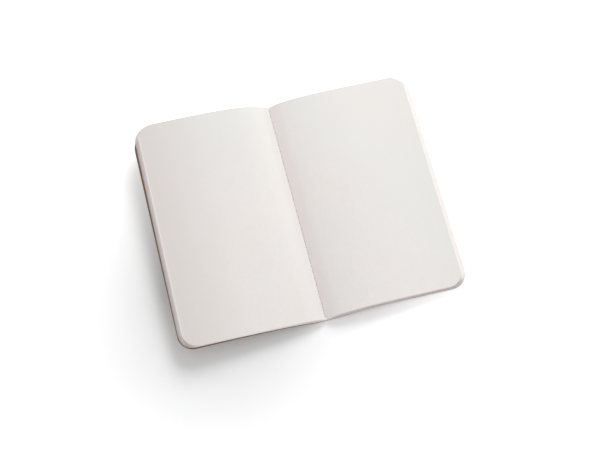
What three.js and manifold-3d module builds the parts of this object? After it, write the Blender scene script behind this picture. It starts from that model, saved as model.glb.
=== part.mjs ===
// A pocket notebook lying open at its centre sheet, in millimetres, with +Z up.
// X runs across the open spread, the left page towards -X, and +Y is the head of the page.
// Sixteen sheets and a card cover are nested, folded once and sewn through the fold.
// Each folded piece is made whole and then parted on a circle round each hinge line:
// its fold stays with the binding, and its two leaves (or cover panels) swing.
// The origin is on the table, under the middle of the open notebook's box.
import * as THREE from "three";
import { mergeVertices } from "three/addons/utils/BufferGeometryUtils.js";
import Module from "manifold-3d";

const wasm = await Module();
wasm.setup();

// Sheets and card
const closedWidth = 87.6; // from the spine fold to the fore edge of the cover, along the card
const closedHeight = 140; // from the tail to the head of the cover
const cornerRadius = 9; // of the cover and the leaves at the fore edge
const sheetCount = 16; // 16 folded sheets are 32 leaves or 64 pages
const paperThickness = 0.1;
const paperAir = 0.02; // least air between two sheets
const cardThickness = 0.4;
const cardAir = 0.1; // between the card and the outermost sheet
const foldOffset = 0.4; // by which the card's fold lies off its middle, so the front is wider
const cardSkew = 0.4; // degrees by which the card is turned, as its fold isn't quite square
const centreSetBack = 2.5; // by which the centre sheet is narrower than the closed width
const foreEdgeCreep = { left: 2.3, right: 2.7 }; // by which the outermost sheet is wider than it
const trimInset = 0.1; // by which the leaves are shorter than the card at the head and the tail

// How the open notebook bows
const spineFlat = 3; // the spine lies flat on the table as far as this on each side of the fold
const spineEase = 3; // and the card bends up from it over about this much more
const leftHeadBow = { rise: 13.8, reach: 13.5, slope: 0.018 }; // underside of the card at the head
const leftTailBow = { rise: 6.3, reach: 17, slope: 0.055 }; // and at the tail
const rightArch = 2.1; // highest the right half of the card stands off the table
const rightLanding = 80; // from here to the fore edge the right half lies on the table
const leftGutterPuff = { head: 3, tail: 2.2, reach: 7 }; // the sheets part most near the fold
const leftFan = 0.8; // extra air in the left stack at the fore edge
const rightPuffHeight = 3.7; // air in the right stack
const rightPuffReach = 5.8; // it opens over about this much

// Hinge lines, all along Y
const halfHingeSpread = 3; // the hinge line of each half, out from the fold
const halfHingeRise = 2.6; // and above the gutter
const leafHingeRise = 4.9; // the hinge line of the leaves, straight above the gutter
const foldClearance = 1.1; // by which the circle that parts the pieces passes below the spine
const hingeGap = 0.3; // between a fold and the leaf or panel beside it

// Sewing
const stitchPitch = 4;
const stitchCount = 34;
const innerThreadRadius = 0.2;
const outerThreadRadius = 0.13;
const threadDip = 0.5; // share of its radius that a thread keeps where it goes through a hole
const holeLength = 0.8; // of each dip along the fold
const threadSeat = 0.05; // clearance between a thread and the card or paper that it lies on
const threadSides = 6;

// Mesh fineness
const stationsBesideFold = 3;
const stationsAcross = 12;
const stationSpread = 1.6; // above 1 the stations crowd towards the fold
const slabMargin = 5; // by which a slab reaches past its outline before it is trimmed
const cornerSteps = 6;
const hingeCircleSteps = 64;

// Sizes that follow from those above
const halfHeight = closedHeight / 2;
const centreSheetWidth = closedWidth - centreSetBack; // from the fold to its fore edge
const paperPitch = paperThickness + paperAir;
const gutterHeight =
  cardThickness + cardAir + (sheetCount - 1) * paperPitch + paperThickness;
const halfHingeHeight = gutterHeight + halfHingeRise;
const leafHingeHeight = gutterHeight + leafHingeRise;
const foldRadius = halfHingeHeight + foldClearance;
const leafRadius = foldRadius + hingeGap;
const slabReach = closedWidth + slabMargin;
const toolHeight = 2 * closedWidth;

// Colours and finishes
const paperLook = { color: 0xeae7e1, roughness: 0.85, metalness: 0 };
const cardLook = { color: 0x9c7f66, roughness: 0.9, metalness: 0 };
const threadLook = { color: 0xcfc8bb, roughness: 0.8, metalness: 0 };

// Shape of the open spread

function between(atTail, atHead, y) {
  const headShare = y / closedHeight + 0.5;
  return atTail + (atHead - atTail) * headShare;
}

// A bow climbs steeply from the spine and settles to a steady slope.
function bowAt(bow, out) {
  return bow.rise * (1 - Math.exp(-out / bow.reach)) + bow.slope * out;
}

// How far a place lies past the flat of the spine, eased in so that the card bends smoothly.
function pastSpine(out) {
  const past = Math.max(0, out - spineFlat);
  return (past * past) / (past + spineEase);
}

function leftUnderside(out, y) {
  const past = pastSpine(out);
  return between(bowAt(leftTailBow, past), bowAt(leftHeadBow, past), y);
}

// The right half leaves the table beside the spine and comes back to it at the landing.
function rightUnderside(out) {
  const along = Math.min(1, pastSpine(out) / pastSpine(rightLanding));
  return rightArch * 6.75 * along * (1 - along) ** 2;
}

function underside(x, y) {
  return x < 0 ? leftUnderside(-x, y) : rightUnderside(x);
}

function leftPuff(out, y) {
  const far = out / leftGutterPuff.reach;
  const height = between(leftGutterPuff.tail, leftGutterPuff.head, y);
  return height * far * Math.exp(1 - far) + (leftFan * out) / closedWidth;
}

// The air opens at an even slope from the fold and then keeps its height.
function rightPuff(out) {
  return (rightPuffHeight * out) / Math.cbrt(out ** 3 + rightPuffReach ** 3);
}

function puff(x, y) {
  return x < 0 ? leftPuff(-x, y) : rightPuff(x);
}

// Level 0 is the outermost sheet, on the card, and the last level is the centre sheet.
function sheetFloor(level) {
  return (x, y) => {
    const air = puff(x, y) / (sheetCount - 1);
    const onCard = underside(x, y) + cardThickness + cardAir;
    return onCard + level * (paperPitch + air);
  };
}

// Solids

function solidFrom(geometry) {
  const bare = geometry.clone();
  bare.deleteAttribute("normal");
  bare.deleteAttribute("uv");
  const merged = mergeVertices(bare, 1e-5);
  return new wasm.Manifold(
    new wasm.Mesh({
      numProp: 3,
      vertProperties: new Float32Array(merged.attributes.position.array),
      triVerts: new Uint32Array(merged.index.array),
    }),
  );
}

function geometryFrom(solid) {
  const mesh = solid.getMesh();
  const geometry = new THREE.BufferGeometry();
  geometry.setAttribute("position", new THREE.BufferAttribute(mesh.vertProperties, 3));
  geometry.setIndex(new THREE.BufferAttribute(mesh.triVerts, 1));
  geometry.computeVertexNormals();
  return geometry;
}

// Every layer breaks at the same stations, so nested layers never cut each other.
function stationsOneSide() {
  const stations = [];
  for (let i = 1; i <= stationsBesideFold; i += 1) {
    stations.push((spineFlat * i) / stationsBesideFold);
  }
  for (let i = 1; i <= stationsAcross; i += 1) {
    const share = (i / stationsAcross) ** stationSpread;
    stations.push(spineFlat + (slabReach - spineFlat) * share);
  }
  return stations;
}

// A slab of paper or card over the whole spread, between two surfaces of height over (x, y).
function slab(lower, upper) {
  const side = stationsOneSide();
  const xs = [...side.map((x) => -x).reverse(), 0, ...side];
  const ys = [-halfHeight - slabMargin, 0, halfHeight + slabMargin];
  const positions = [];
  for (const surface of [lower, upper]) {
    for (const x of xs) {
      for (const y of ys) {
        positions.push(x, y, surface(x, y));
      }
    }
  }
  const rows = ys.length;
  const layer = xs.length * rows;
  const index = [];
  const quad = (a, b, c, d) => index.push(a, b, c, a, c, d);
  for (let i = 0; i + 1 < xs.length; i += 1) {
    for (let j = 0; j + 1 < rows; j += 1) {
      const a = i * rows + j;
      const b = a + rows;
      quad(layer + a, layer + b, layer + b + 1, layer + a + 1);
      index.push(a, b + 1, b, a, a + 1, b + 1);
    }
    const tail = i * rows;
    const head = tail + rows - 1;
    quad(tail, tail + rows, layer + tail + rows, layer + tail);
    quad(head + rows, head, layer + head, layer + head + rows);
  }
  const last = (xs.length - 1) * rows;
  for (let j = 0; j + 1 < rows; j += 1) {
    quad(j + 1, j, layer + j, layer + j + 1);
    quad(last + j, last + j + 1, layer + last + j + 1, layer + last + j);
  }
  const geometry = new THREE.BufferGeometry();
  geometry.setAttribute("position", new THREE.Float32BufferAttribute(positions, 3));
  geometry.setIndex(index);
  return solidFrom(geometry);
}

// How far out a piece of the given width reaches, walking along its bowed surface.
function reachOf(width, surface, side, y) {
  const step = 0.25;
  let out = 0;
  let walked = 0;
  while (walked < width) {
    const climb = surface(side * (out + step), y) - surface(side * out, y);
    const stride = Math.hypot(step, climb);
    const share = Math.min(1, (width - walked) / stride);
    out += step * share;
    walked += stride * share + 1e-9;
  }
  return out;
}

// The trimmed outline of an open piece, square at the fold and round at the fore edges. Its widths
// run along the bowed surface, and the skew turns it on the table, in degrees.
function outline(leftWidth, rightWidth, height, skew, surface) {
  const end = height / 2;
  const r = cornerRadius;
  const quarter = Math.PI / 2;
  const corners = [
    { x: reachOf(rightWidth, surface, 1, -end) - r, y: r - end, from: -quarter },
    { x: reachOf(rightWidth, surface, 1, end) - r, y: end - r, from: 0 },
    { x: r - reachOf(leftWidth, surface, -1, end), y: end - r, from: quarter },
    { x: r - reachOf(leftWidth, surface, -1, -end), y: r - end, from: 2 * quarter },
  ];
  const shape = new THREE.Shape();
  for (const { x, y, from } of corners) shape.absarc(x, y, r, from, from + quarter);
  const cutter = new THREE.ExtrudeGeometry(shape, {
    depth: toolHeight,
    bevelEnabled: false,
    curveSegments: cornerSteps,
  });
  cutter.translate(0, 0, -slabMargin);
  cutter.rotateZ(THREE.MathUtils.degToRad(skew));
  return solidFrom(cutter);
}

function hingeCylinder(side, radius) {
  const long = closedHeight + 4 * slabMargin;
  const round = new THREE.CylinderGeometry(radius, radius, long, hingeCircleSteps);
  round.translate(side * halfHingeSpread, 0, 0);
  round.applyMatrix4(new THREE.Matrix4().makeTranslation(0, 0, halfHingeHeight));
  return solidFrom(round);
}

function boxSolid(x0, x1, z0, z1) {
  const long = closedHeight + 4 * slabMargin;
  const box = new THREE.BoxGeometry(x1 - x0, long, z1 - z0);
  box.translate((x0 + x1) / 2, 0, (z0 + z1) / 2);
  return solidFrom(box);
}

// The binding keeps what lies between the hinge lines or inside a hinge circle.
function foldRegion() {
  return boxSolid(-halfHingeSpread, halfHingeSpread, -slabMargin, toolHeight)
    .add(hingeCylinder(-1, foldRadius))
    .add(hingeCylinder(1, foldRadius));
}

function swingRegion(side) {
  const far = side * (slabReach + slabMargin);
  const near = side * halfHingeSpread;
  const box = boxSolid(Math.min(near, far), Math.max(near, far), -slabMargin, toolHeight);
  return box.subtract(hingeCylinder(side, leafRadius));
}

const atTheFold = foldRegion();
const toTheLeft = swingRegion(-1);
const toTheRight = swingRegion(1);

// Pieces

function sheetSolid(level) {
  const floor = sheetFloor(level);
  const ceiling = (x, y) => floor(x, y) + paperThickness;
  const outward = 1 - level / (sheetCount - 1);
  const leftWidth = centreSheetWidth + foreEdgeCreep.left * outward;
  const rightWidth = centreSheetWidth + foreEdgeCreep.right * outward;
  const height = closedHeight - 2 * trimInset;
  return slab(floor, ceiling).intersect(outline(leftWidth, rightWidth, height, 0, floor));
}

function cardSolid() {
  const ceiling = (x, y) => underside(x, y) + cardThickness;
  const frontWidth = closedWidth + foldOffset;
  const backWidth = closedWidth - foldOffset;
  const trim = outline(frontWidth, backWidth, closedHeight, cardSkew, underside);
  return slab(underside, ceiling).intersect(trim);
}

// The seam presses a groove into the spine, so the outer thread clears the table.
function spineSolid(card) {
  const halfGroove = outerThreadRadius + 3 * threadSeat;
  const depth = 2 * outerThreadRadius + threadSeat;
  return card.intersect(atTheFold).subtract(boxSolid(-halfGroove, halfGroove, -slabMargin, depth));
}

// A thread is round, and thinner where each stitch goes down through a hole.
function threadGeometry(radius) {
  const length = stitchPitch * stitchCount;
  const dip = holeLength / 2;
  const profile = [new THREE.Vector2(0, -length / 2)];
  for (let i = 0; i <= stitchCount; i += 1) {
    const y = i * stitchPitch - length / 2;
    if (i > 0) profile.push(new THREE.Vector2(radius, y - dip));
    profile.push(new THREE.Vector2(radius * threadDip, y));
    if (i < stitchCount) profile.push(new THREE.Vector2(radius, y + dip));
  }
  profile.push(new THREE.Vector2(0, length / 2));
  return new THREE.LatheGeometry(profile, threadSides);
}

function mesh(name, geometry, look) {
  const piece = new THREE.Mesh(geometry, new THREE.MeshStandardMaterial(look));
  piece.name = name;
  return piece;
}

// Hangs a solid made in the open spread's frame on a group that stands at a hinge line.
function hang(group, name, solid, look) {
  const geometry = geometryFrom(solid);
  const at = new THREE.Vector3();
  for (let up = group; up; up = up.parent) at.add(up.position);
  geometry.translate(-at.x, -at.y, -at.z);
  group.add(mesh(name, geometry, look));
}

function hingeGroup(parent, x, z) {
  const group = new THREE.Group();
  const at = new THREE.Vector3();
  for (let up = parent; up; up = up.parent) at.add(up.position);
  group.position.set(x - at.x, 0, z - at.z);
  parent.add(group);
  return group;
}

// Where the underside of a cover panel starts, on the circle round the half's hinge line.
function panelStart(side, y) {
  const step = 0.01;
  let out = halfHingeSpread;
  const fromHinge = (x) =>
    Math.hypot(x - halfHingeSpread, underside(side * x, y) - halfHingeHeight);
  while (fromHinge(out) < leafRadius) out += step;
  return { out, z: underside(side * out, y) };
}

// A cover panel turns on the lowest and innermost point of its inner end.
function coverHinge(side) {
  const tail = panelStart(side, -halfHeight);
  const head = panelStart(side, halfHeight);
  return { x: side * Math.min(tail.out, head.out), z: Math.min(tail.z, head.z) };
}

function sheetName(number, part) {
  return `sheet_${String(number).padStart(2, "0")}_${part}`;
}

// Assembly

const notebook = new THREE.Group();
const binding = hingeGroup(notebook, 0, 0);
const halves = { left: hingeGroup(binding, -halfHingeSpread, halfHingeHeight) };
halves.right = hingeGroup(binding, halfHingeSpread, halfHingeHeight);
const leafHinges = { left: hingeGroup(halves.left, 0, leafHingeHeight) };
leafHinges.right = hingeGroup(halves.right, 0, leafHingeHeight);

const card = cardSolid();
const leftCrease = coverHinge(-1);
const rightCrease = coverHinge(1);
const frontHinge = hingeGroup(halves.left, leftCrease.x, leftCrease.z);
const backHinge = hingeGroup(halves.right, rightCrease.x, rightCrease.z);
hang(binding, "cover_spine", spineSolid(card), cardLook);
hang(frontHinge, "front_cover", card.intersect(toTheLeft), cardLook);
hang(backHinge, "back_cover", card.intersect(toTheRight), cardLook);

for (let level = 0; level < sheetCount; level += 1) {
  const number = sheetCount - level;
  const sheet = sheetSolid(level);
  const onHalf = level === 0;
  const leftGroup = onHalf ? halves.left : leafHinges.left;
  const rightGroup = onHalf ? halves.right : leafHinges.right;
  hang(binding, sheetName(number, "fold"), sheet.intersect(atTheFold), paperLook);
  hang(leftGroup, sheetName(number, "left_leaf"), sheet.intersect(toTheLeft), paperLook);
  hang(rightGroup, sheetName(number, "right_leaf"), sheet.intersect(toTheRight), paperLook);
}

// The gutter is a V, so the inner thread rests on its two slopes.
const innerThread = mesh("inner_thread", threadGeometry(innerThreadRadius), threadLook);
innerThread.position.z = gutterHeight + innerThreadRadius * Math.SQRT2 + threadSeat;
binding.add(innerThread);

const outerThread = mesh("outer_thread", threadGeometry(outerThreadRadius), threadLook);
outerThread.position.z = outerThreadRadius + threadSeat / 2;
binding.add(outerThread);

export default notebook;
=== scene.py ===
"""An open sewn notebook: blank paper leaves, a brown card cover and a thread through the fold.

Lengths are in millimetres, and turn to metres where a mesh is made. X runs across the open
spread, +Y is the head of the page, and the fold stands at X = 0. A place on either half is given
by out, its distance from the fold, and y. Colours are linear shares of red, green and blue.
"""
import math

import bpy
import numpy as np
from mathutils import Matrix, Vector


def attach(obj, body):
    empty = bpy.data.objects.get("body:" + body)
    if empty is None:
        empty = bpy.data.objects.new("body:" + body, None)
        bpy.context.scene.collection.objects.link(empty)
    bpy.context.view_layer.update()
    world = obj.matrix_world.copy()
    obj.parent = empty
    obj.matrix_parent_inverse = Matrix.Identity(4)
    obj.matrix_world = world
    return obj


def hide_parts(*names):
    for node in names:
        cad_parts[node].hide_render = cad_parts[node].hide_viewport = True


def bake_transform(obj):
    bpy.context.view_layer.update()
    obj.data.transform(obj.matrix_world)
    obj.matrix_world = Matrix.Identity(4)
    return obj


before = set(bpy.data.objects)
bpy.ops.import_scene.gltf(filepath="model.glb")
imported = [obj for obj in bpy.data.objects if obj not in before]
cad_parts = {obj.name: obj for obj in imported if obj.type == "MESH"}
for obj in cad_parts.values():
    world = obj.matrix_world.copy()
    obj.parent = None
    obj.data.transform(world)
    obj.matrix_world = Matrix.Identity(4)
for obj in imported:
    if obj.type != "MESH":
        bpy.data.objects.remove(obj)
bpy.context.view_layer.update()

MM = 0.001
SIDES = {"left": -1, "right": 1}

# The UV map of a sheet or a cover: its X and Y in metres as it lies open on the table
PLAN_MAP = "plan"

# Sheets and card, as in the solids
CLOSED_WIDTH = 87.6
CLOSED_HEIGHT = 140.0
CORNER_RADIUS = 9.0
SHEET_COUNT = 16
PAPER_THICKNESS = 0.1
PAPER_AIR = 0.02
CARD_THICKNESS = 0.4
CARD_AIR = 0.1
FOLD_OFFSET = 0.4
CARD_SKEW = 0.4
CENTRE_SET_BACK = 2.5
FORE_EDGE_CREEP = {"left": 2.3, "right": 2.7}
TRIM_INSET = 0.1

# Trim of single pieces, which the solids leave out
LEFT_OVERHANG = 0.25
TRIM_WANDER = 0.07
TRIM_SEED = 400
COVER_HEAD_RADIUS = {"left": 14.0, "right": 9.5}
COVER_TAIL_RADIUS = {"left": 9.0, "right": 10.0}
TAIL_CORNER_WEAR = {"left": 0.0, "right": 1.0}

# Bow of the two halves, as in the solids. A bow is its rise, its reach and its last slope.
SPINE_FLAT = 3.0
SPINE_EASE = 3.0
LEFT_HEAD_BOW = (13.8, 13.5, 0.018)
LEFT_TAIL_BOW = (6.3, 17.0, 0.055)
RIGHT_ARCH = 2.1
RIGHT_LANDING = 80.0
LEFT_PUFF_AT_TAIL = 2.2
LEFT_PUFF_AT_HEAD = 3.0
LEFT_PUFF_REACH = 7.0
LEFT_FAN = 0.8
RIGHT_PUFF_HEIGHT = 3.7
RIGHT_PUFF_REACH = 5.8

# Slow waves of the paper. A wave is its length for a radian, how far its crests bend, and the
# length for a radian of that bend.
OUTWARD_WAVE = (19.0, 0.8, 31.0)
LENGTHWISE_WAVE = (23.0, 0.6, 27.0)
WAVE_PHASE = {"left": 0.7, "right": 2.1}
WAVE_HEIGHT = 0.06
WAVE_START = 12.0
WAVE_GROWTH = 30.0

# Hinge lines, and the circle on which each fold meets its leaves
HALF_HINGE_SPREAD = 3.0
HALF_HINGE_RISE = 2.6
PARTING_CLEARANCE = 3.2
PARTING_LIMIT = 18.0
PARTING_STEP = 0.01

# Sewing
STITCH_PITCH = 4.0
STITCH_COUNT = 34
INNER_THREAD_RADIUS = 0.15
INNER_THREAD_GAP = 0.05
INNER_THREAD_SINK = 0.35
OUTER_THREAD_RADIUS = 0.13
OUTER_THREAD_GAP = 0.025
OUTER_THREAD_SINK = -0.15
PLY_SHARE = 0.52
PLY_LAY = 1.5
HOLE_HALF_LENGTH = 0.35
HOLE_EASE = 0.5
THREAD_SHARE_IN_HOLE = 0.4
FURROW_CLEARANCE = 0.05
FURROW_HALF_WIDTH = 0.24
FURROW_EASE = 0.26

# Fineness of the meshes
CORNER_ROWS = 12
MIDDLE_ROWS = 25
SHEET_WING_COLUMNS = 27
COVER_WING_COLUMNS = 52
LEAF_COLUMNS = 46
LEAF_CROWDING = 1.35
WALK_STEP = 0.25
SLOPE_STEP = 0.02
THREAD_RINGS = 1100
PLY_FACETS = 7

# Sizes that follow from those above
HALF_HEIGHT = CLOSED_HEIGHT / 2
CENTRE_SHEET_WIDTH = CLOSED_WIDTH - CENTRE_SET_BACK
PAPER_PITCH = PAPER_THICKNESS + PAPER_AIR
TOP_LEVEL = SHEET_COUNT - 1
GUTTER_HEIGHT = CARD_THICKNESS + CARD_AIR + TOP_LEVEL * PAPER_PITCH + PAPER_THICKNESS
HALF_HINGE_HEIGHT = GUTTER_HEIGHT + HALF_HINGE_RISE
PARTING_RADIUS = HALF_HINGE_HEIGHT + PARTING_CLEARANCE


# Shape of the two halves


def between(at_tail, at_head, y):
    """Straight mix from the tail's value to the head's along the fold."""
    share = y / CLOSED_HEIGHT + 0.5
    return at_tail + (at_head - at_tail) * share


def smooth_step(share):
    """Eased share: three times its square less twice its cube."""
    return share * share * (3 - 2 * share)


def past_spine(out):
    """Distance past the flat of the spine, eased in: its square over itself plus the ease."""
    past = np.maximum(0.0, out - SPINE_FLAT)
    return past * past / (past + SPINE_EASE)


def settling_bow(past, rise, reach, slope):
    """A rise that dies away as the power of e over its reach, plus a steady slope."""
    return rise * (1 - np.exp(-past / reach)) + slope * past


def left_underside(out, y):
    """Height of the left card: its bow at the tail mixed with its bow at the head."""
    past = past_spine(out)
    return between(settling_bow(past, *LEFT_TAIL_BOW), settling_bow(past, *LEFT_HEAD_BOW), y)


def right_underside(out, y):
    """Height of the right card: a low arch that starts and ends on the table.

    The arch's height, times the share of the way to the landing, times the square of what is
    left of the way, over the greatest value of these two, which is 4/27.
    """
    along = np.minimum(1.0, past_spine(out) / past_spine(RIGHT_LANDING))
    return RIGHT_ARCH * 27 / 4 * along * (1 - along) ** 2 + 0 * y


def left_puff(out, y):
    """Air in the left stack: a hump beside the fold and a slow fan towards the fore edge.

    The hump is the distance over its reach, times the power of e of 1 less that.
    """
    far = out / LEFT_PUFF_REACH
    height = between(LEFT_PUFF_AT_TAIL, LEFT_PUFF_AT_HEAD, y)
    return height * far * np.exp(1 - far) + LEFT_FAN * out / CLOSED_WIDTH


def right_puff(out, y):
    """Air in the right stack: it opens at an even slope from the fold and then keeps its height.

    The height times the distance, over the cube root of the cubes of distance and reach.
    """
    return RIGHT_PUFF_HEIGHT * out / np.cbrt(out**3 + RIGHT_PUFF_REACH**3) + 0 * y


UNDERSIDE = {"left": left_underside, "right": right_underside}
PUFF = {"left": left_puff, "right": right_puff}


def bent_wave(along, across, wave, phase, bend_phase):
    """A sine along one way, whose crests are bent by a slower sine across it."""
    length, bend, bend_length = wave
    return np.sin(along / length + bend * np.sin(across / bend_length + bend_phase) + phase)


def cockle(side, out, y):
    """Slow waves of the paper: two bent waves that grow outwards and only ever lower the page."""
    phase = WAVE_PHASE[side]
    outward = bent_wave(out, y, OUTWARD_WAVE, phase, phase)
    lengthwise = bent_wave(y, out, LENGTHWISE_WAVE, 2 * phase, 0.0)
    grown = np.clip((out - WAVE_START) / WAVE_GROWTH, 0.0, 1.0)
    return -WAVE_HEIGHT * grown * (2 + outward + lengthwise)


def sheet_floor(side, level):
    """The surface under one sheet: level 0 lies on the card, the top level is the centre sheet.

    The card's top, plus the sheets below with their share of the air, plus a share of the waves.
    """
    def height(out, y):
        air = PUFF[side](out, y) / TOP_LEVEL
        on_card = UNDERSIDE[side](out, y) + CARD_THICKNESS + CARD_AIR
        settled = cockle(side, out, y) * level / TOP_LEVEL
        return on_card + level * (PAPER_PITCH + air) + settled
    return height


def reach_of(width, surface, y):
    """How far out a piece of this width reaches: its width is walked along its bowed surface."""
    out = np.arange(0.0, width + 1.0, WALK_STEP)
    heights = surface(out, np.full_like(out, y))
    walked = np.concatenate([[0.0], np.cumsum(np.hypot(np.diff(out), np.diff(heights)))])
    return float(np.interp(width, walked, out))


def parting(surface, ys):
    """Distance from the fold at which each row of a surface crosses the parting circle."""
    out = np.arange(SPINE_FLAT, PARTING_LIMIT, PARTING_STEP)[None, :]
    heights = surface(out, ys[:, None])
    far = np.hypot(out - HALF_HINGE_SPREAD, heights - HALF_HINGE_HEIGHT)
    first = np.argmax(far >= PARTING_RADIUS, axis=1)
    return out[0, first]


def row_places(height, head_radius, tail_radius):
    """Rows from tail to head: quarter-circle spacing in the two corners, even spacing between."""
    turn = np.sin(np.linspace(0.0, math.pi / 2, CORNER_ROWS))
    tail = height / 2 - tail_radius + tail_radius * turn
    head = height / 2 - head_radius + head_radius * turn
    middle = np.linspace(-tail[0], head[0], MIDDLE_ROWS)
    return np.concatenate([-tail[:0:-1], middle, head[1:]])


def columns_from(inner, outer, count, crowd):
    """Places from inner to outer on each row, crowded inwards by a power of their share."""
    share = np.linspace(0.0, 1.0, count) ** crowd
    return inner[:, None] + (outer - inner)[:, None] * share[None, :]


def fore_edge(width, height, surface, ys, head_radius, tail_radius):
    """Where each row ends at the fore edge, with both corners rounded off by a quarter circle.

    A straight line from tail to head, less the radius, plus the root of the radius squared less
    the square of how far the row lies into its corner.
    """
    half = height / 2
    tail, head = reach_of(width, surface, -half), reach_of(width, surface, half)
    straight = tail + (head - tail) * (ys / height + 0.5)
    radius = np.where(ys > 0, head_radius, tail_radius)
    into = np.maximum(0.0, np.abs(ys) - (half - radius))
    return straight - radius + np.sqrt(np.maximum(0.0, radius**2 - into**2))


def fore_line(width, surface):
    """How far out a fore edge lies at the middle of the page, and its slope from tail to head."""
    tail, head = (reach_of(width, surface, y) for y in (-HALF_HEIGHT, HALF_HEIGHT))
    return (tail + head) / 2, (head - tail) / CLOSED_HEIGHT


def on_turned_rows(side, out, rows, degrees):
    """The y of places along straight rows that are turned on the table.

    The row's own place times the cosine, plus how far across the middle of the row the place
    lies times the tangent.
    """
    turn = math.radians(degrees)
    across = SIDES[side] * out + rows * math.sin(turn)
    return across * math.tan(turn) + rows * math.cos(turn)


def turned_edge(side, edge, rows, degrees):
    """How far out each turned row ends.

    Its end before the turn times the cosine, less the row's place times the sine, with the sign
    of its side.
    """
    turn = math.radians(degrees)
    return edge * math.cos(turn) - SIDES[side] * rows * math.sin(turn)


def slopes(surface, out, y):
    """Slope of a height surface outwards and along the fold, from central differences."""
    step = SLOPE_STEP
    by_out = (surface(out + step, y) - surface(out - step, y)) / (2 * step)
    by_y = (surface(out, y + step) - surface(out, y - step)) / (2 * step)
    return by_out, by_y


def link_object(name, data):
    """An object for a mesh, lamp or camera, in the scene at the origin."""
    thing = bpy.data.objects.new(name, data)
    bpy.context.scene.collection.objects.link(thing)
    return thing


def sheet_corners(side, lower, upper, out, y):
    """Places and normals of a grid of corners, on the upper surface and then on the lower one.

    A normal is minus the two slopes of its surface, and 1, made a unit long. It is turned over
    on the lower surface.
    """
    sign = SIDES[side]
    places, normals = [], []
    for surface, facing in ((upper, 1), (lower, -1)):
        z = surface(out, y)
        by_out, by_y = slopes(surface, out, y)
        places.append(np.stack([sign * out, y, z], -1).reshape(-1, 3))
        normal = np.stack([-sign * by_out, -by_y, np.ones_like(z)], -1).reshape(-1, 3) * facing
        normals.append(normal / np.linalg.norm(normal, axis=1, keepdims=True))
    return np.concatenate(places), np.concatenate(normals)


def sheet_faces(side, rows, columns):
    """Quads of a closed sheet, and how many of them, at the end, are the band round its rim.

    The upper grid, the lower grid turned over, and the band that joins their rims. On the left
    side every face is turned round, because that side is a mirror image.
    """
    count = rows * columns
    index = np.arange(count).reshape(rows, columns)
    cell = np.stack([index[:-1, :-1], index[:-1, 1:], index[1:, 1:], index[1:, :-1]], -1)
    top = cell.reshape(-1, 4)
    under = top[:, ::-1] + count
    rim = np.concatenate([index[0, :], index[1:, -1], index[-1, -2::-1], index[-2:0:-1, 0]])
    after = np.roll(rim, -1)
    band = np.stack([rim + count, after + count, after, rim], -1)
    faces = np.concatenate([top, under, band])
    if SIDES[side] < 0:
        faces = faces[:, ::-1]
    return faces, len(band)


def bowed_sheet(name, side, lower, upper, out, y, looks):
    """A closed sheet over a grid of (out, y), between two height surfaces.

    Its faces wear the first of the two looks, with normals from the slopes of the surfaces, so
    that neighbours meet without a visible seam. Its rim is flat-shaded and wears the second.
    """
    places, normals = sheet_corners(side, lower, upper, out, y)
    faces, band = sheet_faces(side, *out.shape)
    corners = faces.reshape(-1)
    mesh = bpy.data.meshes.new(name)
    mesh.from_pydata((places * MM).tolist(), [], faces.tolist())
    mesh.polygons.foreach_set("use_smooth", np.ones(len(faces), bool))
    flat = np.empty(len(faces) * 3)
    mesh.polygons.foreach_get("normal", flat)
    shaded = normals[corners]
    shaded[-4 * band:] = np.repeat(flat.reshape(-1, 3)[-band:], 4, axis=0)
    mesh.normals_split_custom_set(shaded.tolist())
    for look in looks:
        mesh.materials.append(look)
    toward_second = np.zeros(len(faces), int)
    toward_second[-band:] = 1
    mesh.polygons.foreach_set("material_index", toward_second)
    plan = mesh.uv_layers.new(name=PLAN_MAP)
    plan.uv.foreach_set("vector", (places[corners, :2] * MM).ravel())
    return link_object(name, mesh)


# Node helpers


def new_material(name):
    """A node material with one Principled shader joined to its output."""
    material = bpy.data.materials.new(name)
    material.use_nodes = True
    tree = material.node_tree
    return material, tree, tree.nodes["Principled BSDF"]


def add_maths(tree, operation, first, second):
    """One sum, product or the like of two values; each is a number or an output."""
    node = tree.nodes.new("ShaderNodeMath")
    node.operation = operation
    for socket, value in zip(node.inputs, (first, second)):
        if isinstance(value, (int, float)):
            socket.default_value = value
        else:
            tree.links.new(value, socket)
    return node.outputs[0]


def add_range(tree, value, low, high, at_low, at_high):
    """Takes a value from between low and high to between two shares, and holds it beyond them."""
    node = tree.nodes.new("ShaderNodeMapRange")
    for name, limit in (("From Min", low), ("From Max", high),
                        ("To Min", at_low), ("To Max", at_high)):
        node.inputs[name].default_value = limit
    tree.links.new(value, node.inputs["Value"])
    return node.outputs["Result"]


def add_mix(tree, share, first, second):
    """Mixes two colours; each is a tuple or a colour output."""
    node = tree.nodes.new("ShaderNodeMix")
    node.data_type = "RGBA"
    factor, first_socket, second_socket = node.inputs[0], node.inputs[6], node.inputs[7]
    tree.links.new(share, factor)
    for socket, colour in ((first_socket, first), (second_socket, second)):
        if isinstance(colour, tuple):
            socket.default_value = (*colour, 1.0)
        else:
            tree.links.new(colour, socket)
    return node.outputs[2]


def add_bumps(tree, shader, layers):
    """Chains bump nodes of (height output, depth in millimetres, strength) onto a shader."""
    normal = None
    for height, depth, strength in layers:
        bump = tree.nodes.new("ShaderNodeBump")
        bump.inputs["Distance"].default_value = depth * MM
        bump.inputs["Strength"].default_value = strength
        tree.links.new(height, bump.inputs["Height"])
        if normal is not None:
            tree.links.new(normal, bump.inputs["Normal"])
        normal = bump.outputs["Normal"]
    tree.links.new(normal, shader.inputs["Normal"])


def object_place(tree):
    """Where a point lies on its piece, in metres."""
    return tree.nodes.new("ShaderNodeTexCoord").outputs["Object"]


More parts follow.
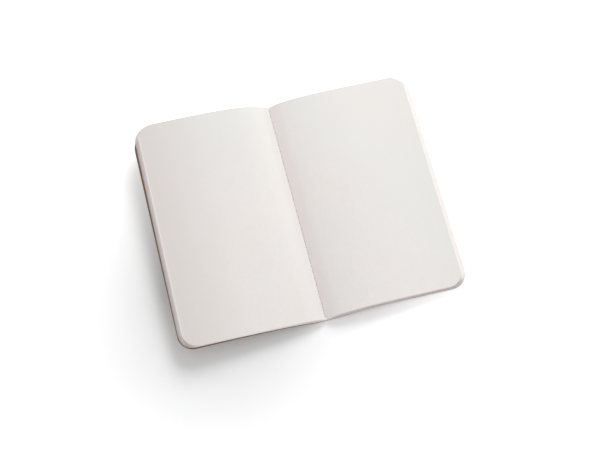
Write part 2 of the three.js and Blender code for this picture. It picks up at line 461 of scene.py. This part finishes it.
def plan_place(tree):
    """Where a point lies on the sheet laid flat on the table, as a vector in metres."""
    plan = tree.nodes.new("ShaderNodeUVMap")
    plan.uv_map = PLAN_MAP
    return plan.outputs["UV"]


def split_place(tree, place):
    """The X and Y of a place."""
    split = tree.nodes.new("ShaderNodeSeparateXYZ")
    tree.links.new(place, split.inputs[0])
    return split.outputs


# Shared node groups


def new_group(name, vectors, numbers, results):
    """An empty node group with vector and number inputs and number outputs.

    Gives the group, what its input node puts out and what its output node takes in.
    """
    group = bpy.data.node_groups.new(name, "ShaderNodeTree")
    for socket in vectors:
        group.interface.new_socket(socket, in_out="INPUT", socket_type="NodeSocketVector")
    for socket in numbers:
        group.interface.new_socket(socket, in_out="INPUT", socket_type="NodeSocketFloat")
    for socket in results:
        group.interface.new_socket(socket, in_out="OUTPUT", socket_type="NodeSocketFloat")
    given = group.nodes.new("NodeGroupInput").outputs
    result = group.nodes.new("NodeGroupOutput").inputs
    return group, given, result


def fibre_grain_group():
    """Grain of paper, card, thread and floor: fractal noise at a stretched place.

    Height is the noise itself. Mask is the noise taken from between Low and High to between the
    shares at low and at high, and held beyond them.
    """
    group, given, result = new_group(
        "fibre_grain", ("Place", "Stretch"),
        ("Scale", "Detail", "Roughness", "Low", "High", "At Low", "At High"),
        ("Height", "Mask"))
    stretched = group.nodes.new("ShaderNodeMapping")
    noise = group.nodes.new("ShaderNodeTexNoise")
    mask = group.nodes.new("ShaderNodeMapRange")
    link = group.links.new
    link(given["Place"], stretched.inputs["Vector"])
    link(given["Stretch"], stretched.inputs["Scale"])
    link(stretched.outputs["Vector"], noise.inputs["Vector"])
    for name in ("Scale", "Detail", "Roughness"):
        link(given[name], noise.inputs[name])
    link(noise.outputs["Fac"], mask.inputs["Value"])
    for name, limit in (("Low", "From Min"), ("High", "From Max"),
                        ("At Low", "To Min"), ("At High", "To Max")):
        link(given[name], mask.inputs[limit])
    link(noise.outputs["Fac"], result["Height"])
    link(mask.outputs["Result"], result["Mask"])
    return group


def past_fore_edge_group():
    """How many millimetres a place on the laid-flat sheet lies outside a fore edge.

    The distance from the fold, less the edge's middle, less its slope times the place along the
    fold. Side is -1 on the left half and 1 on the right one.
    """
    group, given, result = new_group("past_fore_edge", ("Plan",), ("Side", "Middle", "Slope"),
                                     ("Past",))
    split = group.nodes.new("ShaderNodeSeparateXYZ")
    group.links.new(given["Plan"], split.inputs[0])
    across = add_maths(group, "MULTIPLY", split.outputs["X"], 1 / MM)
    out = add_maths(group, "MULTIPLY", across, given["Side"])
    along = add_maths(group, "MULTIPLY", split.outputs["Y"], 1 / MM)
    lean = add_maths(group, "MULTIPLY", along, given["Slope"])
    edge = add_maths(group, "ADD", lean, given["Middle"])
    group.links.new(add_maths(group, "SUBTRACT", out, edge), result["Past"])
    return group


FIBRE_GRAIN = fibre_grain_group()
PAST_FORE_EDGE = past_fore_edge_group()


def add_grain(tree, place, stretch=(1.0, 1.0, 1.0), *, scale, detail, roughness=0.55,
              low=0.0, high=1.0, at_low=0.0, at_high=1.0):
    """Places the fibre grain in a material; its scale is in waves per metre."""
    node = tree.nodes.new("ShaderNodeGroup")
    node.node_tree = FIBRE_GRAIN
    tree.links.new(place, node.inputs["Place"])
    for name, value in (("Stretch", stretch), ("Scale", scale), ("Detail", detail),
                        ("Roughness", roughness), ("Low", low), ("High", high),
                        ("At Low", at_low), ("At High", at_high)):
        node.inputs[name].default_value = value
    return node.outputs


def add_past_edge(tree, plan, side, line):
    """Places the fore edge's distance in a material, for a line of a middle and a slope."""
    middle, slope = line
    node = tree.nodes.new("ShaderNodeGroup")
    node.node_tree = PAST_FORE_EDGE
    tree.links.new(plan, node.inputs["Plan"])
    for name, value in (("Side", SIDES[side]), ("Middle", middle), ("Slope", slope)):
        node.inputs[name].default_value = value
    return node.outputs["Past"]


def add_ramps(tree, axes, ramps):
    """The product of one or two ramps over the laid-flat sheet.

    A ramp is the axis that it runs along, the two places in millimetres between which it runs,
    and its share at each of them.
    """
    shares = [add_range(tree, axes[axis], start * MM, end * MM, at_start, at_end)
              for axis, start, end, at_start, at_end in ramps]
    if len(shares) == 1:
        return shares[0]
    return add_maths(tree, "MULTIPLY", *shares)


# Looks


# Colours of the paper
WARM_PAPER = (0.845, 0.802, 0.778)
COOL_PAPER = (0.832, 0.812, 0.789)
PAPER_FLECK = (0.775, 0.738, 0.716)
# Painted shade: darker and a little cooler towards the head of the left page
LEFT_HEAD_PAINTED_SHADE = (0.79, 0.785, 0.76)
# Painted shade beside the fold on the left page
LEFT_FOLD_PAINTED_SHADE = (0.765, 0.745, 0.725)
# Painted shade: the outer left page darker and pinker, for light that falls off towards the left
OUTER_LEFT_PAINTED_SHADE = (0.715, 0.665, 0.645)
# Painted light tone: the brightly lit outer head of the right page, neutral rather than pink
OUTER_RIGHT_LIT_TONE = (0.805, 0.797, 0.773)
# Painted light: lighter and pinker beside the fold on the right page, where its slope lies in
# shade
RIGHT_FOLD_PAINTED_LIGHT = (0.90, 0.836, 0.822)
# Painted highlight on what shows of the lower sheets past the right fore edge
RIGHT_MARGIN_PAINTED_LIGHT = (0.935, 0.908, 0.88)
# Painted highlight along the left rim of the centre sheet
LEFT_RIM_PAINTED_LIGHT = (0.86, 0.83, 0.81)
# Painted light on the lower sheets' band past the left fore edge, next to the centre sheet
LEFT_MARGIN_PAINTED_LIGHT = (0.86, 0.80, 0.785)
# Painted shade on that band further out from the centre sheet
LEFT_MARGIN_PAINTED_SHADE = (0.72, 0.665, 0.65)
# Painted shade: a thin darker line along the tail rim of the right page, growing outwards
TAIL_RIM_PAINTED_SHADE = (0.66, 0.61, 0.60)
# Painted shade inside the needle holes along the fold
NEEDLE_HOLE_PAINTED_SHADE = (0.28, 0.24, 0.225)
# Cut paper edges, paler than the paper's face: painted light on edges that face away from the key
# lamp
CUT_PAPER_LIT_COLOURS = ((0.96, 0.89, 0.875), (0.89, 0.82, 0.805))

# Colours of the card and the thread
KRAFT_COLOURS = ((0.385, 0.262, 0.165), (0.335, 0.222, 0.137))
KRAFT_LIGHT_FIBRE = (0.52, 0.385, 0.265)
KRAFT_DARK_FIBRE = (0.19, 0.115, 0.065)
# Painted shade on the card where it shows beside the leaves and along its tail
KRAFT_PAINTED_SHADE = (0.17, 0.108, 0.07)
# Cut card edges: a darker brown than the card's face, deepened with painted shade
CUT_CARD_SHADED_COLOURS = ((0.17, 0.115, 0.085), (0.11, 0.075, 0.055))
THREAD_COLOURS = ((0.80, 0.75, 0.73), (0.62, 0.57, 0.55))
THREAD_PATCH = (0.66, 0.61, 0.59)

# Ramps over the laid-flat sheet: axis, first and last place in millimetres, share at each
LEFT_OF_FOLD = ("X", -1.0, -0.2, 1.0, 0.0)
RIGHT_OF_FOLD = ("X", 0.0, 0.4, 0.0, 1.0)
LEFT_HEAD = (("Y", 0.0, 55.0, 0.0, 0.8), LEFT_OF_FOLD)
LEFT_CREASE = (("X", -18.0, -5.0, 0.0, 0.45), LEFT_OF_FOLD)
RIGHT_CREASE = (("X", 0.5, 11.0, 0.8, 0.0), RIGHT_OF_FOLD)
OUTER_LEFT = (("X", -42.0, -78.0, 0.0, 0.7),)
TAIL_RIM_SHADE = (("Y", -69.3, -69.6, 0.0, 1.0), ("X", 12.0, 35.0, 0.0, 0.75))
# Painted shade along the card's tail
CARD_TAIL_SHADE = (("Y", -69.5, -69.8, 0.0, 0.9),)

# Painted light tone at the lit outer head of the right page: the share of Y that is added to X,
# and between which two places, in metres, the tone comes in along that slant
LIT_TONE_LEAN = 0.6
LIT_TONE_CORNER = (34.0 * MM, 54.0 * MM)

# Stretches past a fore edge, in millimetres, over which painted light and shade come in. Below
# zero is inside it.
RIGHT_MARGIN = (-0.1, 0.15)
LEFT_RIM = (-0.9, -0.4)
LEFT_MARGIN = (0.0, 0.15)
LEFT_MARGIN_SHADE_SPAN = (0.5, 2.4)
# Painted shade on the card beside the left leaves
CARD_SIDE_SHADE = (-0.6, -0.2)

# Distances from the middle of a needle hole, in millimetres, over which it fades out
NEEDLE_HOLE_RIM = (0.22, 0.48)

# Way in which the grain is drawn out, as a scale on each axis
PAPER_STRETCH = (1.0, 0.45, 1.0)
LONG_FIBRE_STRETCH = (1.0, 0.16, 1.0)
CROSS_FIBRE_STRETCH = (0.3, 1.0, 1.0)
THREAD_STRETCH = (1.0, 0.3, 1.0)


def add_needle_holes(tree, axes):
    """A mask that is 1 inside the sewing holes, which stand at every stitch along the fold.

    The length of a vector from the nearest hole. Its part across the fold counts double, which
    makes each hole an oval.
    """
    across = add_maths(tree, "DIVIDE", axes["X"], MM / 2)
    along = add_maths(tree, "DIVIDE", axes["Y"], MM)
    to_hole = add_maths(tree, "PINGPONG", along, STITCH_PITCH / 2)
    joined = tree.nodes.new("ShaderNodeCombineXYZ")
    tree.links.new(across, joined.inputs["X"])
    tree.links.new(to_hole, joined.inputs["Y"])
    away = tree.nodes.new("ShaderNodeVectorMath")
    away.operation = "LENGTH"
    tree.links.new(joined.outputs[0], away.inputs[0])
    return add_range(tree, away.outputs["Value"], *NEEDLE_HOLE_RIM, at_low=1.0, at_high=0.0)


def add_lit_corner_tone(tree, axes):
    """A mask of painted light tone that grows towards the outer head of the right page, along X
    plus a share of Y.
    """
    lean = add_maths(tree, "MULTIPLY", axes["Y"], LIT_TONE_LEAN)
    slant = add_maths(tree, "ADD", axes["X"], lean)
    return add_range(tree, slant, *LIT_TONE_CORNER, at_low=0.0, at_high=0.6)


def add_trimmed_margins(tree, plan, base):
    """Colours what shows of the lower sheets past the centre sheet, and the centre sheet's rim,
    with painted light and shade.
    """
    right = add_past_edge(tree, plan, "right",
                          fore_line(CENTRE_SHEET_WIDTH, sheet_floor("right", TOP_LEVEL)))
    left = add_past_edge(tree, plan, "left",
                         fore_line(CENTRE_SHEET_WIDTH, sheet_floor("left", TOP_LEVEL)))
    # Painted highlight on the right fore edge's band of lower sheets
    lit_margin = add_range(tree, right, *RIGHT_MARGIN, at_low=0.0, at_high=1.0)
    base = add_mix(tree, lit_margin, base, RIGHT_MARGIN_PAINTED_LIGHT)
    # Painted highlight along the left rim of the centre sheet
    rim = add_range(tree, left, *LEFT_RIM, at_low=0.0, at_high=1.0)
    base = add_mix(tree, rim, base, LEFT_RIM_PAINTED_LIGHT)
    # Painted shade: the left band darkens further out; painted light nearer the centre sheet
    toward_second = add_range(tree, left, *LEFT_MARGIN_SHADE_SPAN, at_low=0.0, at_high=1.0)
    shade = add_mix(tree, toward_second, LEFT_MARGIN_PAINTED_LIGHT, LEFT_MARGIN_PAINTED_SHADE)
    band = add_range(tree, left, *LEFT_MARGIN, at_low=0.0, at_high=1.0)
    return add_mix(tree, band, base, shade)


def paper_material():
    """Uncoated off-white writing paper: cloudy formation, fine fibre fleck, a soft tooth and
    painted shade and light.
    """
    material, tree, shader = new_material("writing_paper")
    place = object_place(tree)
    plan = plan_place(tree)
    axes = split_place(tree, plan)
    tint = add_grain(tree, place, scale=22.0, detail=2.0, low=0.35, high=0.65)
    clouds = add_grain(tree, place, scale=55.0, detail=3.0, low=0.3, high=0.7, at_high=0.22)
    formation = add_grain(tree, place, PAPER_STRETCH, scale=420.0, detail=4.0, roughness=0.65,
                          low=0.45, high=0.75, at_high=0.28)
    tooth = add_grain(tree, place, PAPER_STRETCH, scale=1050.0, detail=2.0, roughness=0.5,
                      low=0.509, high=0.62, at_high=0.2)
    fibres = add_grain(tree, place, PAPER_STRETCH, scale=2600.0, detail=3.0, roughness=0.7)
    base = add_mix(tree, tint["Mask"], WARM_PAPER, COOL_PAPER)
    layers = (
        # Painted shade towards the head of the left page
        (add_ramps(tree, axes, LEFT_HEAD), LEFT_HEAD_PAINTED_SHADE),
        # Painted shade beside the fold on the left page
        (add_ramps(tree, axes, LEFT_CREASE), LEFT_FOLD_PAINTED_SHADE),
        (clouds["Mask"], PAPER_FLECK),
        (formation["Mask"], PAPER_FLECK),
        (tooth["Mask"], PAPER_FLECK),
        # Painted shade on the outer left page
        (add_ramps(tree, axes, OUTER_LEFT), OUTER_LEFT_PAINTED_SHADE),
        # Painted light tone at the lit outer head of the right page
        (add_lit_corner_tone(tree, axes), OUTER_RIGHT_LIT_TONE),
        # Painted light beside the fold on the right page
        (add_ramps(tree, axes, RIGHT_CREASE), RIGHT_FOLD_PAINTED_LIGHT),
    )
    for share, tone in layers:
        base = add_mix(tree, share, base, tone)
    base = add_trimmed_margins(tree, plan, base)
    # Painted shade along the tail rim of the right page
    base = add_mix(tree, add_ramps(tree, axes, TAIL_RIM_SHADE), base, TAIL_RIM_PAINTED_SHADE)
    # Painted shade inside the needle holes
    base = add_mix(tree, add_needle_holes(tree, axes), base, NEEDLE_HOLE_PAINTED_SHADE)
    tree.links.new(base, shader.inputs["Base Color"])
    matt = add_range(tree, formation["Height"], low=0.3, high=0.7, at_low=0.82, at_high=0.95)
    tree.links.new(matt, shader.inputs["Roughness"])
    shader.inputs["Specular IOR Level"].default_value = 0.25
    shader.inputs["Sheen Weight"].default_value = 0.08
    shader.inputs["Sheen Roughness"].default_value = 0.6
    add_bumps(tree, shader, [(formation["Height"], 0.06, 0.8), (fibres["Height"], 0.02, 0.5)])
    return material


def card_material():
    """Brown kraft card: light and dark fibres over clouds, and painted shade where its rim shows
    beside the leaves and at its tail.
    """
    material, tree, shader = new_material("kraft_card")
    place = object_place(tree)
    plan = plan_place(tree)
    clouds = add_grain(tree, place, scale=70.0, detail=4.0, low=0.3, high=0.7)
    light = add_grain(tree, place, LONG_FIBRE_STRETCH, scale=1500.0, detail=2.0, roughness=0.6,
                      low=0.58, high=0.72, at_high=0.55)
    dark = add_grain(tree, place, CROSS_FIBRE_STRETCH, scale=1100.0, detail=3.0, roughness=0.6,
                     low=0.60, high=0.76, at_high=0.6)
    tooth = add_grain(tree, place, scale=3200.0, detail=3.0, roughness=0.7,
                      low=0.3, high=0.7, at_low=0.78, at_high=0.94)
    base = add_mix(tree, clouds["Mask"], *KRAFT_COLOURS)
    base = add_mix(tree, light["Mask"], base, KRAFT_LIGHT_FIBRE)
    base = add_mix(tree, dark["Mask"], base, KRAFT_DARK_FIBRE)
    lowest_sheet = CENTRE_SHEET_WIDTH + FORE_EDGE_CREEP["left"] - LEFT_OVERHANG
    past = add_past_edge(tree, plan, "left", fore_line(lowest_sheet, sheet_floor("left", 0)))
    at_side = add_range(tree, past, *CARD_SIDE_SHADE, at_low=0.0, at_high=0.9)
    at_tail = add_ramps(tree, split_place(tree, plan), CARD_TAIL_SHADE)
    # Painted shade on the strip of card that shows beside the leaves
    kraft_shade_share = add_maths(tree, "MAXIMUM", at_side, at_tail)
    base = add_mix(tree, kraft_shade_share, base, KRAFT_PAINTED_SHADE)
    tree.links.new(base, shader.inputs["Base Color"])
    tree.links.new(tooth["Mask"], shader.inputs["Roughness"])
    shader.inputs["Specular IOR Level"].default_value = 0.3
    add_bumps(tree, shader, [(light["Height"], 0.05, 0.4), (tooth["Height"], 0.03, 0.5)])
    return material


def cut_edge_material(name, colours):
    """The trimmed edge of a sheet: matt, open fibre with small nicks of the second colour."""
    material, tree, shader = new_material(name)
    place = object_place(tree)
    nicks = add_grain(tree, place, scale=900.0, detail=3.0, roughness=0.6, low=0.5, high=0.75)
    fibre = add_grain(tree, place, scale=4200.0, detail=2.0, roughness=0.6)
    tree.links.new(add_mix(tree, nicks["Mask"], *colours), shader.inputs["Base Color"])
    shader.inputs["Roughness"].default_value = 0.95
    shader.inputs["Specular IOR Level"].default_value = 0.15
    add_bumps(tree, shader, [(fibre["Height"], 0.03, 0.5)])
    return material


def thread_material():
    """Unbleached sewing thread: fine fibres drawn out along it, and patches where it is soiled."""
    material, tree, shader = new_material("sewing_thread")
    place = object_place(tree)
    fibre = add_grain(tree, place, THREAD_STRETCH, scale=9000.0, detail=3.0, roughness=0.7,
                      low=0.35, high=0.7)
    patches = add_grain(tree, place, scale=400.0, detail=2.0, low=0.4, high=0.7, at_high=0.3)
    base = add_mix(tree, fibre["Mask"], *THREAD_COLOURS)
    base = add_mix(tree, patches["Mask"], base, THREAD_PATCH)
    tree.links.new(base, shader.inputs["Base Color"])
    matt = add_range(tree, fibre["Height"], low=0.3, high=0.7, at_low=0.7, at_high=0.92)
    tree.links.new(matt, shader.inputs["Roughness"])
    shader.inputs["Sheen Weight"].default_value = 0.2
    add_bumps(tree, shader, [(fibre["Height"], 0.02, 0.6)])
    return material


PAPER = paper_material()
CARD = card_material()
THREAD = thread_material()
CUT_PAPER = cut_edge_material("cut_paper_edge", CUT_PAPER_LIT_COLOURS)
CUT_CARD = cut_edge_material("cut_card_edge", CUT_CARD_SHADED_COLOURS)

# Every solid gets a look too, by a word in its node's name
NODE_LOOK = {"thread": THREAD, "cover": CUT_CARD, "sheet": CUT_PAPER}
for node_name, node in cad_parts.items():
    for word, look in NODE_LOOK.items():
        if word in node_name:
            node.data.materials.clear()
            node.data.materials.append(look)
            break


# Sheets of paper


def trim_wander(side, level):
    """How much shorter a leaf was trimmed: a small seeded share, and more on the outer left."""
    draw = np.random.default_rng(TRIM_SEED + level)
    outward = 1 - level / TOP_LEVEL
    return draw.uniform(0.0, TRIM_WANDER) + (LEFT_OVERHANG * outward if side == "left" else 0.0)


def build_sheet(number, side):
    """One half of a folded sheet: the wing beside the fold, and the leaf."""
    level = SHEET_COUNT - number
    floor = sheet_floor(side, level)

    def ceiling(out, y):
        return floor(out, y) + PAPER_THICKNESS

    outward = 1 - level / TOP_LEVEL
    width = CENTRE_SHEET_WIDTH + FORE_EDGE_CREEP[side] * outward - trim_wander(side, level)
    height = CLOSED_HEIGHT - 2 * TRIM_INSET
    tail_radius = CORNER_RADIUS + TAIL_CORNER_WEAR[side] * outward
    ys = row_places(height, CORNER_RADIUS, tail_radius)
    met = parting(floor, ys)
    edge = fore_edge(width, height, floor, ys, CORNER_RADIUS, tail_radius)
    label = f"sheet_{number:02d}_{side}"
    wing_out = columns_from(np.zeros_like(ys), met, SHEET_WING_COLUMNS, 1.0)
    leaf_out = columns_from(met, edge, LEAF_COLUMNS, LEAF_CROWDING)
    looks = PAPER, CUT_PAPER
    wing_y = np.repeat(ys[:, None], SHEET_WING_COLUMNS, 1)
    leaf_y = np.repeat(ys[:, None], LEAF_COLUMNS, 1)
    wing = bowed_sheet(f"{label}_wing", side, floor, ceiling, wing_out, wing_y, looks)
    leaf = bowed_sheet(f"{label}_page", side, floor, ceiling, leaf_out, leaf_y, looks)
    half = f"{side}_half"
    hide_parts(f"sheet_{number:02d}_fold")
    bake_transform(wing)
    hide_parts(f"sheet_{number:02d}_{side}_leaf")
    if level == 0:
        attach(leaf, half)
    else:
        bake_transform(leaf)


for sheet_number in range(1, SHEET_COUNT + 1):
    for side_name in SIDES:
        build_sheet(sheet_number, side_name)


# Card cover


def furrow(out):
    """The seam's furrow along the spine: its depth beside the outer thread, eased out to none."""
    depth = 2 * OUTER_THREAD_RADIUS + FURROW_CLEARANCE
    away = np.clip((out - FURROW_HALF_WIDTH) / FURROW_EASE, 0.0, 1.0)
    return depth * (1 - smooth_step(away))


def build_cover(side, panel_name):
    """One half of the card: the wing beside the spine, and the cover panel."""
    base = UNDERSIDE[side]

    def under_spine(out, y):
        return base(out, y) + furrow(out)

    def upper(out, y):
        return base(out, y) + CARD_THICKNESS

    width = CLOSED_WIDTH - SIDES[side] * FOLD_OFFSET
    radii = COVER_HEAD_RADIUS[side], COVER_TAIL_RADIUS[side]
    rows = row_places(CLOSED_HEIGHT, *radii)
    met = parting(base, rows)
    edge = fore_edge(width, CLOSED_HEIGHT, base, rows, *radii)
    edge = turned_edge(side, edge, rows, CARD_SKEW)
    wing_out = columns_from(np.zeros_like(rows), met, COVER_WING_COLUMNS, 1.0)
    panel_out = columns_from(met, edge, LEAF_COLUMNS, LEAF_CROWDING)
    wing_y = on_turned_rows(side, wing_out, rows[:, None], CARD_SKEW)
    panel_y = on_turned_rows(side, panel_out, rows[:, None], CARD_SKEW)
    looks = CARD, CUT_CARD
    wing = bowed_sheet(f"spine_{side}_wing", side, under_spine, upper, wing_out, wing_y, looks)
    panel = bowed_sheet(f"{panel_name}_panel", side, base, upper, panel_out, panel_y, looks)
    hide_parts("cover_spine")
    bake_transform(wing)
    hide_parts(panel_name)
    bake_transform(panel)


build_cover("left", "front_cover")
build_cover("right", "back_cover")


# Sewing thread


def ply_tube(first, y, across, height, radius):
    """A closed tube along the fold: a circle of its own radius round each place of its middle.

    Gives its corners, and its faces counted from the first corner's number.
    """
    angle = np.linspace(0, 2 * math.pi, PLY_FACETS, endpoint=False)
    ring_x = across[:, None] + radius[:, None] * np.cos(angle)[None, :]
    ring_z = height[:, None] + radius[:, None] * np.sin(angle)[None, :]
    ring_y = np.repeat(y[:, None], PLY_FACETS, 1)
    corners = np.stack([ring_x, ring_y, ring_z], -1).reshape(-1, 3)
    index = first + np.arange(len(corners)).reshape(-1, PLY_FACETS)
    beside = np.roll(index, -1, axis=1)
    walls = np.stack([index[:-1], index[1:], beside[1:], beside[:-1]], -1).reshape(-1, 4)
    return corners, walls.tolist() + [index[0].tolist(), index[-1][::-1].tolist()]


def sew_thread(name, radius, height, sink, node):
    """Two plies twisted round each other along the fold, drawn in where each stitch goes down.

    The middle of each ply turns on a circle round the thread's line, half a turn from the other.
    Over the length of a hole the thread narrows to less than half its size and sinks by the
    given amount, or rises where that is below zero.
    """
    length = STITCH_PITCH * STITCH_COUNT
    y = np.linspace(-length / 2, length / 2, THREAD_RINGS)
    half_pitch = STITCH_PITCH / 2
    from_hole = np.abs((y + length / 2 + half_pitch) % STITCH_PITCH - half_pitch)
    out_of_hole = smooth_step(np.clip((from_hole - HOLE_HALF_LENGTH) / HOLE_EASE, 0.0, 1.0))
    full = radius * (THREAD_SHARE_IN_HOLE + (1 - THREAD_SHARE_IN_HOLE) * out_of_hole)
    ply = PLY_SHARE * full
    line = height - sink * (1 - out_of_hole)
    turn = 2 * math.pi * y / PLY_LAY
    places, faces = [], []
    for half_turn in (0.0, math.pi):
        across = (full - ply) * np.cos(turn + half_turn)
        rise = line + (full - ply) * np.sin(turn + half_turn)
        first = len(places) * THREAD_RINGS * PLY_FACETS
        corners, tube = ply_tube(first, y, across, rise, ply)
        places.append(corners)
        faces += tube
    mesh = bpy.data.meshes.new(name)
    mesh.from_pydata((np.concatenate(places) * MM).tolist(), [], faces)
    mesh.polygons.foreach_set("use_smooth", [len(face) == 4 for face in faces])
    mesh.materials.append(THREAD)
    piece = link_object(name, mesh)
    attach(piece, "binding")
    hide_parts(node)


# In the gutter the thread lies between two slopes of paper of about 45 degrees
sew_thread("gutter_stitches", INNER_THREAD_RADIUS,
           GUTTER_HEIGHT + INNER_THREAD_RADIUS * math.sqrt(2) + INNER_THREAD_GAP,
           INNER_THREAD_SINK, "inner_thread")
sew_thread("spine_stitches", OUTER_THREAD_RADIUS, OUTER_THREAD_RADIUS + OUTER_THREAD_GAP,
           OUTER_THREAD_SINK, "outer_thread")


# Studio: places and sizes are in metres here

FLOOR_REACH = 3.0
FLOOR_COLOURS = ((0.893, 0.899, 0.905), (0.873, 0.879, 0.885))
SHADOW_CENTRE = (-0.055, -0.05, 0.0)
SHADOW_REACH = (0.04, 0.135)
GLOW_IN_SHADOW = 0.06
GLOW_OUTSIDE = 0.5
SURROUND_LIGHT = 0.55


def build_floor():
    """A wide pale floor with its top at the table's height, seen white outside the shadow."""
    mesh = bpy.data.meshes.new("floor")
    far = FLOOR_REACH
    mesh.from_pydata([(-far, -far, 0), (far, -far, 0), (far, far, 0), (-far, far, 0)],
                     [], [(0, 1, 2, 3)])
    floor = link_object("floor", mesh)
    material, tree, shader = new_material("pale_floor")
    place = object_place(tree)
    grain = add_grain(tree, place, scale=900.0, detail=2.0)
    tree.links.new(add_mix(tree, grain["Height"], *FLOOR_COLOURS), shader.inputs["Base Color"])
    shader.inputs["Roughness"].default_value = 0.9
    shader.inputs["Specular IOR Level"].default_value = 0.1
    rays = tree.nodes.new("ShaderNodeLightPath").outputs
    seen = add_maths(tree, "MAXIMUM", rays["Is Camera Ray"], rays["Is Glossy Ray"])
    away = tree.nodes.new("ShaderNodeVectorMath")
    away.operation = "DISTANCE"
    tree.links.new(place, away.inputs[0])
    away.inputs[1].default_value = SHADOW_CENTRE
    glow = add_range(tree, away.outputs["Value"], *SHADOW_REACH, GLOW_IN_SHADOW, GLOW_OUTSIDE)
    tree.links.new(add_maths(tree, "MULTIPLY", seen, glow), shader.inputs["Emission Strength"])
    shader.inputs["Emission Color"].default_value = (1, 1, 1, 1)
    mesh.materials.append(material)


def build_world():
    """An even white surround: plain light on the object, full white where the camera sees it."""
    world = bpy.data.worlds.new("studio")
    bpy.context.scene.world = world
    world.use_nodes = True
    tree = world.node_tree
    back = tree.nodes["Background"]
    back.inputs["Color"].default_value = (1, 1, 1, 1)
    rays = tree.nodes.new("ShaderNodeLightPath")
    filled = add_maths(tree, "MULTIPLY", rays.outputs["Is Camera Ray"], 1 - SURROUND_LIGHT)
    tree.links.new(add_maths(tree, "ADD", filled, SURROUND_LIGHT), back.inputs["Strength"])


def add_softbox(name, place, aim, size, watts, colour):
    """A square area lamp at a place, turned towards its aim."""
    lamp = bpy.data.lights.new(name, "AREA")
    lamp.shape = "SQUARE"
    lamp.size = size
    lamp.energy = watts
    lamp.color = colour
    holder = link_object(name, lamp)
    holder.location = place
    direction = Vector(aim) - Vector(place)
    holder.rotation_euler = direction.to_track_quat("-Z", "Y").to_euler()


build_floor()
build_world()
add_softbox("key_softbox", place=(0.37, 0.66, 0.70), aim=(0, 0, 0),
            size=0.54, watts=6.1, colour=(1.0, 0.99, 0.975))
add_softbox("side_softbox", place=(0.75, 0.18, 0.16), aim=(0, 0, 0.01),
            size=0.3, watts=0.5, colour=(1.0, 1.0, 1.0))
add_softbox("front_softbox", place=(0.30, -0.55, 0.10), aim=(0.04, -0.07, 0.004),
            size=0.3, watts=1.2, colour=(1.0, 0.985, 0.975))


# Camera: lengths in millimetres and angles in degrees, for a photo of 600 by 450 pixels

PHOTO_WIDTH = 600
FOCAL_PIXELS = 1496.51
SENSOR_WIDTH = 36.0
CAMERA_AZIMUTH = -14.326
CAMERA_ELEVATION = 70.0
CAMERA_DISTANCE = 900.0
CAMERA_ACROSS = 2.126
CAMERA_UP = -7.570
NEAREST_SEEN = 10.0
FARTHEST_SEEN = 20000.0


def build_camera():
    """A camera that looks at the fold from the angles found in the photo, slid across and up.

    It stands back from the table's origin by its distance, along the line of the two angles.
    """
    azimuth, elevation = math.radians(CAMERA_AZIMUTH), math.radians(CAMERA_ELEVATION)
    back = Vector((math.sin(azimuth) * math.cos(elevation),
                   -math.cos(azimuth) * math.cos(elevation), math.sin(elevation)))
    across = Vector((math.cos(azimuth), math.sin(azimuth), 0))
    up = back.cross(across)
    data = bpy.data.cameras.new("camera")
    data.sensor_width = SENSOR_WIDTH
    data.lens = FOCAL_PIXELS / PHOTO_WIDTH * SENSOR_WIDTH
    data.clip_start = NEAREST_SEEN * MM
    data.clip_end = FARTHEST_SEEN * MM
    camera = link_object("camera", data)
    turn = Matrix((across, up, back)).transposed().to_4x4()
    spot = (back * CAMERA_DISTANCE + across * CAMERA_ACROSS + up * CAMERA_UP) * MM
    camera.matrix_world = Matrix.Translation(spot) @ turn
    bpy.context.scene.camera = camera


build_camera()
bpy.context.scene.view_settings.view_transform = "Standard"
